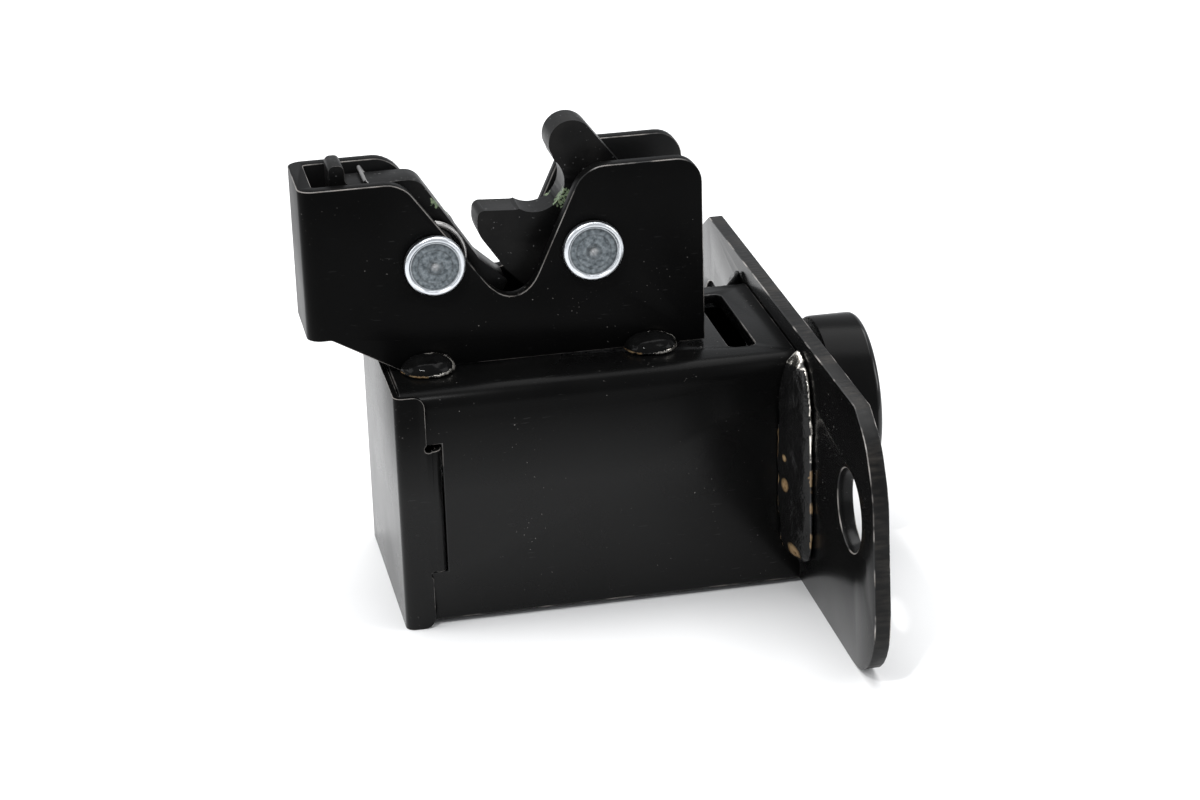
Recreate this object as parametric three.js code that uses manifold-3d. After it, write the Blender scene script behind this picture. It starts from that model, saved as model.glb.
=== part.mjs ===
// Gravity gate latch: a rotary fork-and-pawl catch on a welded sheet-steel box, with a push button.
// Millimetres, +Z up. X runs along the box from the end cover to the mounting plate, Y across it.
// The model is laid out from the box's lower left front corner and then moved so that the origin
// is the middle of the object's bottom face.
import * as THREE from 'three';
import { mergeVertices } from 'three/addons/utils/BufferGeometryUtils.js';
import Module from 'manifold-3d';

const wasm = await Module();
wasm.setup();

// ---- driving dimensions -------------------------------------------------------------------------
const GAP = 0.3;                 // air kept between pieces that touch on the real object
const FLOOR_Z = -1;              // lowest level: the cover's and the plate's bottom edges

const BOX_LENGTH = 81;
const BOX_WIDTH = 47;
const BOX_HEIGHT = 49.4;
const BOX_SHEET = 3;
const BOX_BEND = 4;              // outer bend radius of the box channel
const BOX_MIDDLE = BOX_WIDTH / 2;
const TOP_SLOT = { x: 68.5, width: 5.7, length: 31, corner: 1.6 };
const TRIP_WINDOW = { x: 11, length: 13, width: 9 };    // opening that the pusher arm stands in
const TAB_SLOT = { right: 7.7, bottom: 10.7, top: 38.4 };

const COVER_SHEET = 1.2;
const COVER_FLANGE = 4.5;        // how far the cover's side flanges reach along the box
const COVER_CORNER = 2.4;
const TAB_DEPTH = 2.4;

const PLATE_THICKNESS = 3.2;
const PLATE_LENGTH = 145;
const PLATE_MIDDLE = 20;
const PLATE_TOP = 53.2;
// The ear's corners, each in from the plate's end and down from its top, and its foot's radius.
const EAR = { flat: 14.6, shoulder: [6.9, 4.6], waist: [1.9, 13.8], foot: 15 };
const EAR_HOLE = { radius: 8.3, inset: 17.6, z: 30.3 };

const HOUSING_LEFT = -16;
const HOUSING_RIGHT = 64.7;
const HOUSING_WIDTH = 21;
const HOUSING_TOP = 88.6;
const HOUSING_BEND = 3;
const HOUSING_MIDDLE = 23.7;
const OVERHANG_Z = 57.4;         // underside of the housing where it stands out past the box

const PIVOT_Z = 71.5;
const PAWL_PIVOT_X = 9.9;
const FORK_PIVOT_X = 41.9;
const RIVET = { shank: 4, head: 6.15, stand: 1.8, groove: 4.9 };
const BUSH_RADIUS = 5.6;

const FORK_THICKNESS = 7.6;
const PAWL_THICKNESS = 7.6;
const THROAT = { x: 32, z: 84, radius: 6 };
const ARM_TIP = { x: 39.7, z: 91.8, radius: 4.6 };

const BUTTON_RADIUS = 17.7;
const BUTTON_Z = 29.5;
const BUTTON_FACE = 100.5;
const BUTTON_BACK = 90.3;
const BUTTON_TRAVEL = 5.5;
const GUIDE = { outside: 8, flange: 10.5, flangeLeft: 78 };
const ROD_RADIUS = 5;
const SPIGOT_RADIUS = 3;
const BRACKET = { x: 40, thickness: 3, bottom: 12, foot: 14 };
const CLIP = { x: 76.7, width: 1, inner: 4.3, outer: 7.6 };
const COLLAR = { x: 74.4, width: 2, outer: 9.6 };
const ARM = { thickness: 3, width: 7, bottom: 22, top: 55 };

const TAIL = { left: 8.5, right: 12.5, bottom: 51.5 };  // the pawl's tail, pushed by the pusher arm

const BEAD = { plateLeg: 10.3, boxLeg: 4.8, bottom: 5, top: 50.6 };
const TACK = { length: 11.2, depth: 5.6, height: 3.4, places: [7.5, 53.2] };

const ROUND = 32;                // sides of a large circle
const SMALL_ROUND = 20;          // sides of a small one

// ---- colours ------------------------------------------------------------------------------------
const paint = () => new THREE.MeshStandardMaterial({ color: 0x0b0b0c, roughness: 0.34, metalness: 0.2 });
const zinc = () => new THREE.MeshStandardMaterial({ color: 0xb9bec4, roughness: 0.3, metalness: 0.9 });
const steel = () => new THREE.MeshStandardMaterial({ color: 0x6d6f72, roughness: 0.4, metalness: 0.9 });
const moulded = () => new THREE.MeshStandardMaterial({ color: 0x111213, roughness: 0.5, metalness: 0 });
const bronze = () => new THREE.MeshStandardMaterial({ color: 0x8c6a3a, roughness: 0.45, metalness: 0.8 });

// ---- solids -------------------------------------------------------------------------------------
const toSolid = (geometry) => {
  const bare = geometry.index ? geometry.toNonIndexed() : geometry.clone();
  for (const name of Object.keys(bare.attributes)) if (name !== 'position') bare.deleteAttribute(name);
  const merged = mergeVertices(bare, 1e-4);
  const corners = merged.index.array;
  const triangles = [];
  for (let i = 0; i < corners.length; i += 3) {
    const [a, b, c] = corners.slice(i, i + 3);
    if (a !== b && b !== c && c !== a) triangles.push(a, b, c);
  }
  return new wasm.Manifold(new wasm.Mesh({
    numProp: 3,
    vertProperties: new Float32Array(merged.attributes.position.array),
    triVerts: new Uint32Array(triangles),
  }));
};

const toGeometry = (solid) => {
  const mesh = solid.getMesh();
  const geometry = new THREE.BufferGeometry();
  geometry.setAttribute('position', new THREE.BufferAttribute(new Float32Array(mesh.vertProperties), 3));
  geometry.setIndex(new THREE.BufferAttribute(new Uint32Array(mesh.triVerts), 1));
  geometry.computeVertexNormals();
  return geometry;
};

const latch = new THREE.Group();
const addPiece = (name, solid, material) => {
  const mesh = new THREE.Mesh(toGeometry(solid), material);
  mesh.name = name;
  latch.add(mesh);
};
const join = (solids) => solids.reduce((whole, next) => whole.add(next));
const cut = (solid, tools) => tools.reduce((rest, tool) => rest.subtract(tool), solid);

// A box from its lowest to its highest corner.
const block = (x0, x1, y0, y1, z0, z1) => toSolid(
  new THREE.BoxGeometry(x1 - x0, y1 - y0, z1 - z0).translate((x0 + x1) / 2, (y0 + y1) / 2, (z0 + z1) / 2));

// A closed outline drawn in two of the axes and pushed along the third, from lowest to highest.
const sweep = (shape, low, high, axis, curveSegments = 8) => {
  const depth = high - low;
  const geometry = new THREE.ExtrudeGeometry(shape, { depth, bevelEnabled: false, curveSegments });
  if (axis === 'y') geometry.rotateX(Math.PI / 2).translate(0, high, 0);
  if (axis === 'x') geometry.rotateX(Math.PI / 2).rotateZ(Math.PI / 2).translate(low, 0, 0);
  if (axis === 'z') geometry.translate(0, 0, low);
  return toSolid(geometry);
};

// An outline of points, each [u, v] or [u, v, r] with its corner rounded to radius r.
const outline = (corners) => {
  const shape = new THREE.Shape();
  corners.forEach(([u, v, r = 0], i) => {
    const before = new THREE.Vector2(...corners[(i + corners.length - 1) % corners.length]);
    const after = new THREE.Vector2(...corners[(i + 1) % corners.length]);
    const here = new THREE.Vector2(u, v);
    const towardsBefore = before.sub(here).normalize();
    const towardsAfter = after.sub(here).normalize();
    const half = Math.acos(THREE.MathUtils.clamp(towardsBefore.dot(towardsAfter), -1, 1)) / 2;
    const start = here.clone().addScaledVector(towardsBefore, r ? r / Math.tan(half) : 0);
    if (i === 0) shape.moveTo(start.x, start.y); else shape.lineTo(start.x, start.y);
    if (r) {
      const centre = here.clone().addScaledVector(
        towardsBefore.clone().add(towardsAfter).normalize(), r / Math.sin(half));
      const end = here.clone().addScaledVector(towardsAfter, r / Math.tan(half));
      const from = Math.atan2(start.y - centre.y, start.x - centre.x);
      const to = Math.atan2(end.y - centre.y, end.x - centre.x);
      const turn = Math.atan2(Math.sin(to - from), Math.cos(to - from));
      const steps = Math.max(2, Math.ceil(Math.abs(turn) / (Math.PI / 12)));
      for (let k = 1; k <= steps; k += 1) {
        const angle = from + (turn * k) / steps;
        shape.lineTo(centre.x + r * Math.cos(angle), centre.y + r * Math.sin(angle));
      }
    }
  });
  return shape;
};

const circle = (u, v, radius, sides) => outline(
  Array.from({ length: sides }, (_, k) => [
    u + radius * Math.cos((2 * Math.PI * k) / sides),
    v + radius * Math.sin((2 * Math.PI * k) / sides)]));
const diskX = (y, z, radius, x0, x1, sides = ROUND) => sweep(circle(y, z, radius, sides), x0, x1, 'x');
const diskY = (x, z, radius, y0, y1, sides = ROUND) => sweep(circle(x, z, radius, sides), y0, y1, 'y');

// A turned piece: profile points [radius, along] about an axis through the origin, laid along X or Y.
const turned = (profile, sides, axis, place) => {
  const geometry = new THREE.LatheGeometry(profile.map(([r, a]) => new THREE.Vector2(r, a)), sides);
  if (axis === 'x') geometry.rotateZ(-Math.PI / 2);
  geometry.translate(...place);
  return toSolid(geometry);
};

// ---- box channel --------------------------------------------------------------------------------
const boxChannel = () => {
  const skin = (inset, low) => sweep(outline([
    [inset, low], [BOX_WIDTH - inset, low],
    [BOX_WIDTH - inset, BOX_HEIGHT - inset, BOX_BEND - inset],
    [inset, BOX_HEIGHT - inset, BOX_BEND - inset]]), inset ? -1 : 0, BOX_LENGTH + (inset ? 1 : 0), 'x');
  const slotY = BOX_MIDDLE - TOP_SLOT.length / 2;
  const topSlot = sweep(outline([
    [TOP_SLOT.x, slotY, TOP_SLOT.corner],
    [TOP_SLOT.x + TOP_SLOT.width, slotY, TOP_SLOT.corner],
    [TOP_SLOT.x + TOP_SLOT.width, slotY + TOP_SLOT.length, TOP_SLOT.corner],
    [TOP_SLOT.x, slotY + TOP_SLOT.length, TOP_SLOT.corner]]), BOX_HEIGHT - 5, BOX_HEIGHT + 1, 'z');
  const window = block(TRIP_WINDOW.x, TRIP_WINDOW.x + TRIP_WINDOW.length,
    HOUSING_MIDDLE - TRIP_WINDOW.width / 2, HOUSING_MIDDLE + TRIP_WINDOW.width / 2,
    BOX_HEIGHT - 5, BOX_HEIGHT + 1);
  const tabSlots = [[-1, BOX_SHEET + 1], [BOX_WIDTH - BOX_SHEET - 1, BOX_WIDTH + 1]].map(([y0, y1]) =>
    block(TAB_SLOT.right - 3.9, TAB_SLOT.right, y0, y1, TAB_SLOT.bottom, TAB_SLOT.top));
  return cut(skin(0, 0), [skin(BOX_SHEET, -1), topSlot, window, ...tabSlots]);
};
addPiece('box_channel', boxChannel(), paint());

// ---- end cover ----------------------------------------------------------------------------------
// A thin sheet cap over the box's left end, held by a snap tab that hooks into each side wall.
const endCover = () => {
  const out = GAP + COVER_SHEET;
  const low = FLOOR_Z;
  const sheet = sweep(outline([
    [COVER_FLANGE, -out], [-out, -out, 2], [-out, BOX_WIDTH + out, 2], [COVER_FLANGE, BOX_WIDTH + out],
    [COVER_FLANGE, BOX_WIDTH + GAP], [-GAP, BOX_WIDTH + GAP, 0.8], [-GAP, -GAP, 0.8],
    [COVER_FLANGE, -GAP]]), low, BOX_HEIGHT, 'z');
  const side = sweep(outline([
    [-out - 1, low - 1], [-out - 1, BOX_HEIGHT + 1], [-out, BOX_HEIGHT + 1], [-out, BOX_HEIGHT],
    [COVER_FLANGE, BOX_HEIGHT, COVER_CORNER], [COVER_FLANGE, low, COVER_CORNER], [-out, low],
    [-out, low - 1]]), -out - 1, BOX_WIDTH + out + 1, 'y');
  const hook = outline([
    [COVER_FLANGE - 1, -out], [TAB_SLOT.right - GAP, -out, 1.9], [TAB_SLOT.right - GAP, TAB_DEPTH],
    [TAB_SLOT.right - GAP - COVER_SHEET, TAB_DEPTH],
    [TAB_SLOT.right - GAP - COVER_SHEET, -GAP, 0.7], [COVER_FLANGE - 1, -GAP]]);
  const frontHook = sweep(hook, TAB_SLOT.bottom + 0.6, TAB_SLOT.top - 0.8, 'z');
  const rearHook = frontHook.mirror([0, 1, 0]).translate([0, BOX_WIDTH, 0]);
  const reliefs = [TAB_SLOT.bottom - 0.2, TAB_SLOT.top - 0.1].map((z) =>
    diskY(COVER_FLANGE + 0.3, z, 0.9, -out - 1, BOX_WIDTH + out + 1, SMALL_ROUND));
  return cut(join([sheet.intersect(side), frontHook, rearHook]), reliefs);
};
addPiece('end_cover', endCover(), paint());

// ---- mounting plate -----------------------------------------------------------------------------
// Sheared plate with an ear on each side of the box; the box's right end is welded to it.
const PLATE_X = BOX_LENGTH + GAP;
const mountingPlate = () => {
  const half = PLATE_LENGTH / 2;
  const edge = [
    [half - EAR.flat, PLATE_TOP],
    [half - EAR.shoulder[0], PLATE_TOP - EAR.shoulder[1], 10],
    [half - EAR.waist[0], PLATE_TOP - EAR.waist[1], 14],
    [half, FLOOR_Z + EAR.foot + 2, 20],
    [half, FLOOR_Z, EAR.foot]];
  const mirrored = edge.map(([u, v, r]) => (r ? [-u, v, r] : [-u, v])).reverse();
  const plate = sweep(outline([...edge, ...mirrored]), PLATE_X, PLATE_X + PLATE_THICKNESS, 'x')
    .translate([0, PLATE_MIDDLE, 0]);
  const hole = (y, z, radius) => diskX(y, z, radius, PLATE_X - 1, PLATE_X + PLATE_THICKNESS + 1);
  return cut(plate, [
    hole(PLATE_MIDDLE - half + EAR_HOLE.inset, EAR_HOLE.z, EAR_HOLE.radius),
    hole(PLATE_MIDDLE + half - EAR_HOLE.inset, EAR_HOLE.z, EAR_HOLE.radius),
    hole(BOX_MIDDLE, BUTTON_Z, GUIDE.outside + GAP)]);
};
addPiece('mounting_plate', mountingPlate(), paint());

// ---- latch housing ------------------------------------------------------------------------------
// One strap bent to a U round the latch parts, with the striker's V mouth cut in both walls.
const HOUSING_FRONT = HOUSING_MIDDLE - HOUSING_WIDTH / 2;
const HOUSING_REAR = HOUSING_MIDDLE + HOUSING_WIDTH / 2;
const HOUSING_FOOT = BOX_HEIGHT + GAP;
const latchHousing = () => {
  const right = HOUSING_RIGHT + 2;
  const strap = sweep(outline([
    [right, HOUSING_FRONT], [HOUSING_LEFT, HOUSING_FRONT, HOUSING_BEND],
    [HOUSING_LEFT, HOUSING_REAR, HOUSING_BEND], [right, HOUSING_REAR],
    [right, HOUSING_REAR - BOX_SHEET], [HOUSING_LEFT + BOX_SHEET, HOUSING_REAR - BOX_SHEET, 0.6],
    [HOUSING_LEFT + BOX_SHEET, HOUSING_FRONT + BOX_SHEET, 0.6],
    [right, HOUSING_FRONT + BOX_SHEET]]), HOUSING_FOOT, HOUSING_TOP, 'z');
  const wall = sweep(outline([
    [HOUSING_LEFT - 1, OVERHANG_Z], [-11.3, OVERHANG_Z, 1.5], [2, HOUSING_FOOT - 0.1],
    [HOUSING_RIGHT, HOUSING_FOOT - 0.1], [HOUSING_RIGHT, HOUSING_TOP, 5.2],
    [40.8, HOUSING_TOP, 6.5], [26.4, 57.8, 6.2], [4.4, HOUSING_TOP, 6.2],
    [HOUSING_LEFT - 1, HOUSING_TOP]]), HOUSING_FRONT - 1, HOUSING_REAR + 1, 'y');
  const holes = [PAWL_PIVOT_X, FORK_PIVOT_X].map((x) =>
    diskY(x, PIVOT_Z, RIVET.shank + GAP, HOUSING_FRONT - 1, HOUSING_REAR + 1, SMALL_ROUND));
  return cut(strap.intersect(wall), holes);
};
addPiece('latch_housing', latchHousing(), paint());

// ---- pivots -------------------------------------------------------------------------------------
// Zinc-plated rivets headed on both sides; each carries a steel bush that spaces the walls apart.
const rivet = (x) => {
  const near = HOUSING_FRONT - GAP;
  const far = HOUSING_REAR + GAP;
  const head = (face, outward) => [
    [RIVET.head, face], [RIVET.head, face + outward * (RIVET.stand - 0.45)],
    [RIVET.head - 0.45, face + outward * RIVET.stand], [RIVET.groove + 0.35, face + outward * RIVET.stand],
    [RIVET.groove, face + outward * (RIVET.stand - 0.3)],
    [0.9, face + outward * (RIVET.stand - 0.15)], [0, face + outward * (RIVET.stand - 0.5)]];
  return turned([...head(near, -1).reverse(), [RIVET.shank, near], [RIVET.shank, far], ...head(far, 1)],
    ROUND, 'y', [x, 0, PIVOT_Z]);
};
const bush = (x, outer) => cut(
  diskY(x, PIVOT_Z, outer, HOUSING_FRONT + BOX_SHEET + GAP, HOUSING_REAR - BOX_SHEET - GAP, ROUND),
  [diskY(x, PIVOT_Z, RIVET.shank + GAP, HOUSING_FRONT, HOUSING_REAR, SMALL_ROUND)]);
addPiece('fork_rivet', rivet(FORK_PIVOT_X), zinc());
addPiece('pawl_rivet', rivet(PAWL_PIVOT_X), zinc());
addPiece('fork_bush', bush(FORK_PIVOT_X, BUSH_RADIUS), steel());
addPiece('pawl_bush', bush(PAWL_PIVOT_X, BUSH_RADIUS), steel());

// ---- fork and pawl ------------------------------------------------------------------------------
// The fork's throat takes the striker bar; its lower arm's flat end is what the pawl's nose holds.
const forkRotor = () => {
  const low = HOUSING_MIDDLE - FORK_THICKNESS / 2;
  const high = HOUSING_MIDDLE + FORK_THICKNESS / 2;
  const body = sweep(outline([
    [43.36, 94.6], [53.6, 81.2, 9], [56, 63.5, 12], [41, 56.5, 12], [30.6, 61.2, 6], [25.5, 66.4, 3],
    [19.8, 74.9, 5], [20.3, 79.35, 1.4], [28.2, 78.85, 2], [33, 80.5], [36.6, 85.2], [37.35, 86.3],
    [36, 88.6], [35.15, 90.9], [ARM_TIP.x, ARM_TIP.z]]), low, high, 'y');
  const tip = diskY(ARM_TIP.x, ARM_TIP.z, ARM_TIP.radius, low, high);
  return cut(body.add(tip), [
    diskY(THROAT.x, THROAT.z, THROAT.radius, low - 1, high + 1),
    diskY(FORK_PIVOT_X, PIVOT_Z, BUSH_RADIUS + GAP, low - 1, high + 1)]);
};
addPiece('fork', forkRotor(), steel());

const pawlLever = () => {
  const low = HOUSING_MIDDLE - PAWL_THICKNESS / 2;
  const high = HOUSING_MIDDLE + PAWL_THICKNESS / 2;
  const body = sweep(outline([
    [-9.1, 91.35, 1.2], [-6, 91.35, 1.2], [-6, 87.2, 1.3], [8.6, 87.2, 3.6], [20.1, 69.3, 1.5],
    [25.7, 64.2, 0.8], [24.6, 62.2, 0.8], [17, 60.6, 3], [TAIL.right, 57.2, 2],
    [TAIL.right, TAIL.bottom, 1],
    [TAIL.left, TAIL.bottom, 1], [5.2, 64, 5], [-9.1, 79.5, 3]]), low, high, 'y');
  return cut(body, [diskY(PAWL_PIVOT_X, PIVOT_Z, BUSH_RADIUS + GAP, low - 1, high + 1)]);
};
addPiece('pawl', pawlLever(), steel());

// ---- button, rod and what they push -------------------------------------------------------------
const pushButton = () => {
  const edge = 1.2;
  const bore = BUTTON_BACK - 1;
  const round = [0.35, 0.7, 1].map((part) => {
    const angle = (part * Math.PI) / 2;
    return [BUTTON_RADIUS - edge + edge * Math.cos(angle), BUTTON_FACE - edge + edge * Math.sin(angle)];
  });
  const cap = turned([[0, BUTTON_BACK], [BUTTON_RADIUS - 0.8, BUTTON_BACK],
    [BUTTON_RADIUS, BUTTON_BACK + 0.8], [BUTTON_RADIUS, BUTTON_FACE - edge], ...round, [0, BUTTON_FACE]],
  ROUND + 8, 'x', [0, BOX_MIDDLE, BUTTON_Z]);
  return cut(cap, [diskX(BOX_MIDDLE, BUTTON_Z, SPIGOT_RADIUS + GAP, bore, BUTTON_FACE - 3, SMALL_ROUND)]);
};
const ARM_X = TAIL.right + BUTTON_TRAVEL + 0.4;
const pushRod = () => turned([
  [0, ARM_X - 6.5], [SPIGOT_RADIUS - 0.6, ARM_X - 6.5], [SPIGOT_RADIUS, ARM_X - 5.9],
  [SPIGOT_RADIUS, ARM_X + ARM.thickness + GAP], [ROD_RADIUS, ARM_X + ARM.thickness + GAP],
  [ROD_RADIUS, CLIP.x - GAP], [CLIP.inner - GAP, CLIP.x - GAP],
  [CLIP.inner - GAP, CLIP.x + CLIP.width + GAP], [ROD_RADIUS, CLIP.x + CLIP.width + GAP],
  [ROD_RADIUS, BUTTON_BACK - GAP], [SPIGOT_RADIUS, BUTTON_BACK - GAP],
  [SPIGOT_RADIUS, BUTTON_FACE - 3 - GAP], [0, BUTTON_FACE - 3 - GAP]],
ROUND - 8, 'x', [0, BOX_MIDDLE, BUTTON_Z]);
const ringX = (outer, inner, x0, x1, sides = ROUND - 8) => cut(
  diskX(BOX_MIDDLE, BUTTON_Z, outer, x0, x1, sides),
  [diskX(BOX_MIDDLE, BUTTON_Z, inner, x0 - 1, x1 + 1, sides)]);
const pusherArm = () => cut(
  sweep(outline([
    [BOX_MIDDLE - ARM.width / 2, ARM.top, 1.5], [BOX_MIDDLE + ARM.width / 2, ARM.top, 1.5],
    [BOX_MIDDLE + ARM.width / 2, BUTTON_Z + 9, 3], [BOX_MIDDLE + 8, BUTTON_Z + 5, 3],
    [BOX_MIDDLE + 8, ARM.bottom, 4], [BOX_MIDDLE - 8, ARM.bottom, 4],
    [BOX_MIDDLE - 8, BUTTON_Z + 5, 3], [BOX_MIDDLE - ARM.width / 2, BUTTON_Z + 9, 3]]),
  ARM_X, ARM_X + ARM.thickness, 'x'),
  [diskX(BOX_MIDDLE, BUTTON_Z, SPIGOT_RADIUS + GAP, ARM_X - 1, ARM_X + ARM.thickness + 1, SMALL_ROUND)]);
const pusherNut = () => cut(diskX(BOX_MIDDLE, BUTTON_Z, 5.7, ARM_X - GAP - 4.6, ARM_X - GAP, 6),
  [diskX(BOX_MIDDLE, BUTTON_Z, SPIGOT_RADIUS + GAP, ARM_X - 6, ARM_X, SMALL_ROUND)]);
addPiece('push_button', pushButton(), moulded());
addPiece('push_rod', pushRod(), zinc());
addPiece('pusher_arm', pusherArm(), zinc());
addPiece('pusher_nut', pusherNut(), zinc());
addPiece('spring_collar', ringX(COLLAR.outer, ROD_RADIUS + GAP, COLLAR.x, COLLAR.x + COLLAR.width), zinc());

// The retaining clip is a C ring, open at the bottom, in a groove round the rod.
const rodClip = () => ringX(CLIP.outer, CLIP.inner, CLIP.x, CLIP.x + CLIP.width).subtract(
  block(CLIP.x - 1, CLIP.x + CLIP.width + 1, BOX_MIDDLE - 3.4, BOX_MIDDLE + 3.4, BUTTON_Z - 9, BUTTON_Z - 1));
addPiece('rod_clip', rodClip(), steel());

const guideBush = () => ringX(GUIDE.flange, ROD_RADIUS + GAP, GUIDE.flangeLeft, BOX_LENGTH)
  .add(ringX(GUIDE.outside, ROD_RADIUS + GAP, GUIDE.flangeLeft, PLATE_X + PLATE_THICKNESS));
addPiece('guide_bush', guideBush(), bronze());

// The bracket is an angle welded between the box's side walls; the rod slides in its hole.
const rodBracket = () => {
  const y0 = BOX_SHEET + GAP;
  const y1 = BOX_WIDTH - BOX_SHEET - GAP;
  const top = BOX_HEIGHT - BOX_SHEET - GAP;
  const angle = sweep(outline([
    [BRACKET.x, top], [BRACKET.x + BRACKET.thickness, top],
    [BRACKET.x + BRACKET.thickness, BRACKET.bottom, 4],
    [BRACKET.x + BRACKET.thickness - BRACKET.foot, BRACKET.bottom],
    [BRACKET.x + BRACKET.thickness - BRACKET.foot, BRACKET.bottom + BRACKET.thickness],
    [BRACKET.x, BRACKET.bottom + BRACKET.thickness, 1]]), y0, y1, 'y');
  const face = sweep(outline([
    [y0, BRACKET.bottom - 1], [y1, BRACKET.bottom - 1], [y1, top, 3], [y0, top, 3]]),
  BRACKET.x - BRACKET.foot, BRACKET.x + BRACKET.foot, 'x');
  return cut(angle.intersect(face), [
    diskX(BOX_MIDDLE, BUTTON_Z, ROD_RADIUS + GAP, BRACKET.x - 1, BRACKET.x + BRACKET.thickness + 1)]);
};
addPiece('rod_bracket', rodBracket(), steel());

// ---- springs ------------------------------------------------------------------------------------
// A round wire along a path of points, with square-cut ends.
const wire = (points, radius, steps, sides = 8) => toSolid(new THREE.ExtrudeGeometry(
  circle(0, 0, radius, sides),
  { steps, bevelEnabled: false, extrudePath: new THREE.CatmullRomCurve3(points, false, 'centripetal') }));
const coil = (turns, radius, start, pitch, place) => Array.from(
  { length: Math.round(turns * 12) + 1 },
  (_, k) => place(radius * Math.cos(start + (k * Math.PI) / 6), radius * Math.sin(start + (k * Math.PI) / 6),
    (pitch * k) / 12));

const returnSpring = () => {
  const from = BRACKET.x + BRACKET.thickness + GAP + 0.7;
  const to = COLLAR.x - GAP - 0.7;
  const turns = 7;
  return wire(coil(turns, 7, 0, (to - from) / turns, (u, v, a) =>
    new THREE.Vector3(from + a, BOX_MIDDLE + u, BUTTON_Z + v)), 0.7, turns * 14, 6);
};
addPiece('return_spring', returnSpring(), steel());

// The pawl's spring has a coil on each side of the pawl, joined by a straight bridge over its back.
const PAWL_SPRING = { wire: 0.45, coil: 7, turns: 2.25, pitch: 0.98, bridgeX: -2.1, bridgeZ: 88 };
const pawlSpring = () => {
  const { coil: radius, turns, pitch } = PAWL_SPRING;
  const side = (outward) => {
    const inner = HOUSING_MIDDLE + outward * (PAWL_THICKNESS / 2 + 0.8);
    const round = coil(turns, radius, Math.PI * 0.72, outward * pitch, (u, v, a) =>
      new THREE.Vector3(PAWL_PIVOT_X + u, inner + a, PIVOT_Z + v));
    const end = round[round.length - 1];
    const leg = [[8, 1], [14, 2]].map(([left, up]) => new THREE.Vector3(end.x - left, end.y, end.z + up));
    return [...round, ...leg];
  };
  const bridge = [-1, 1].map((outward) => new THREE.Vector3(PAWL_SPRING.bridgeX,
    HOUSING_MIDDLE + outward * (PAWL_THICKNESS / 2 + 1), PAWL_SPRING.bridgeZ));
  return wire([...side(-1).reverse(), ...bridge, ...side(1)], PAWL_SPRING.wire, 150, 6);
};
addPiece('pawl_spring', pawlSpring(), steel());

const FORK_SPRING = { wire: 0.5, coil: 7.4, turns: 1.75, pitch: 1.1 };
const forkSpring = () => {
  const y = HOUSING_MIDDLE + FORK_THICKNESS / 2 + 0.9;
  const round = coil(FORK_SPRING.turns, FORK_SPRING.coil, -Math.PI / 2, FORK_SPRING.pitch, (u, v, a) =>
    new THREE.Vector3(FORK_PIVOT_X + u, y + a, PIVOT_Z + v));
  const first = round[0];
  const last = round[round.length - 1];
  return wire([new THREE.Vector3(first.x - 12, first.y, first.z), ...round,
    new THREE.Vector3(last.x, last.y, last.z - 9)], FORK_SPRING.wire, 60, 6);
};
addPiece('fork_spring', forkSpring(), steel());

// ---- weld beads ---------------------------------------------------------------------------------
// A bead is a run of cross-sections along X or Z. Each end is rounded off; the higher its power,
// the blunter the end.
const bead = (section, from, to, axis, place, powers) => {
  const stations = 14;
  const points = [];
  for (let s = 0; s <= stations; s += 1) {
    const along = (1 - Math.cos((Math.PI * s) / stations)) / 2;
    const power = powers[along < 0.5 ? 0 : 1];
    const swell = Math.max(0.2, Math.sqrt(1 - Math.abs(2 * along - 1) ** power));
    section.forEach(([u, v]) => points.push([u * swell, v * swell, from + (to - from) * along]));
  }
  const n = section.length;
  const faces = [];
  for (let s = 0; s < stations; s += 1) {
    for (let k = 0; k < n; k += 1) {
      const a = s * n + k;
      const b = s * n + ((k + 1) % n);
      faces.push(a, b, b + n, a, b + n, a + n);
    }
  }
  const last = stations * n;
  for (let k = 1; k < n - 1; k += 1) faces.push(0, k + 1, k, last, last + k, last + k + 1);
  const geometry = new THREE.BufferGeometry();
  const laid = points.flatMap(([u, v, a]) => (axis === 'z' ? [place[0] + u, place[1] + v, a]
    : [a, place[0] + u, place[1] + v]));
  geometry.setAttribute('position', new THREE.BufferAttribute(new Float32Array(laid), 3));
  geometry.setIndex(faces);
  return toSolid(geometry);
};
// The long beads are nearly flat across, the short ones domed.
const flatSection = (du, dv) => [[0, 0], [du, 0], [du * 0.72, dv * 0.42], [du * 0.35, dv * 0.82], [0, dv]];
const domedSection = (du, dv) => [[0, 0], ...[0, 1, 2, 3, 4].map((k) => [
  du * Math.cos((k * Math.PI) / 8), dv * Math.sin((k * Math.PI) / 8)])];
const anticlockwise = (section) => {
  const area = section.reduce((sum, [u, v], i) => {
    const [p, q] = section[(i + 1) % section.length];
    return sum + u * q - p * v;
  }, 0);
  return area > 0 ? section : [...section].reverse();
};
[['plate_weld_front', -GAP, -1], ['plate_weld_rear', BOX_WIDTH + GAP, 1]].forEach(([name, y, outward]) =>
  addPiece(name, bead(anticlockwise(flatSection(-BEAD.boxLeg, outward * BEAD.plateLeg)),
    BEAD.bottom, BEAD.top, 'z', [BOX_LENGTH, y], [9, 5]), paint()));
[['front', HOUSING_FRONT - GAP, -1], ['rear', HOUSING_REAR + GAP, 1]].forEach(([side, y, outward]) =>
  TACK.places.forEach((x, i) => addPiece(`housing_weld_${side}_${i + 1}`,
    bead(anticlockwise(domedSection(outward * TACK.depth, TACK.height)),
      x - TACK.length / 2, x + TACK.length / 2, 'x', [y, BOX_HEIGHT + GAP], [2.4, 2.4]), paint())));

// ---- the origin at the middle of the bottom face ------------------------------------------------
latch.position.set(-(HOUSING_LEFT + BUTTON_FACE) / 2, -PLATE_MIDDLE, -FLOOR_Z);

export default latch;
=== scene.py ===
import math

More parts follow.
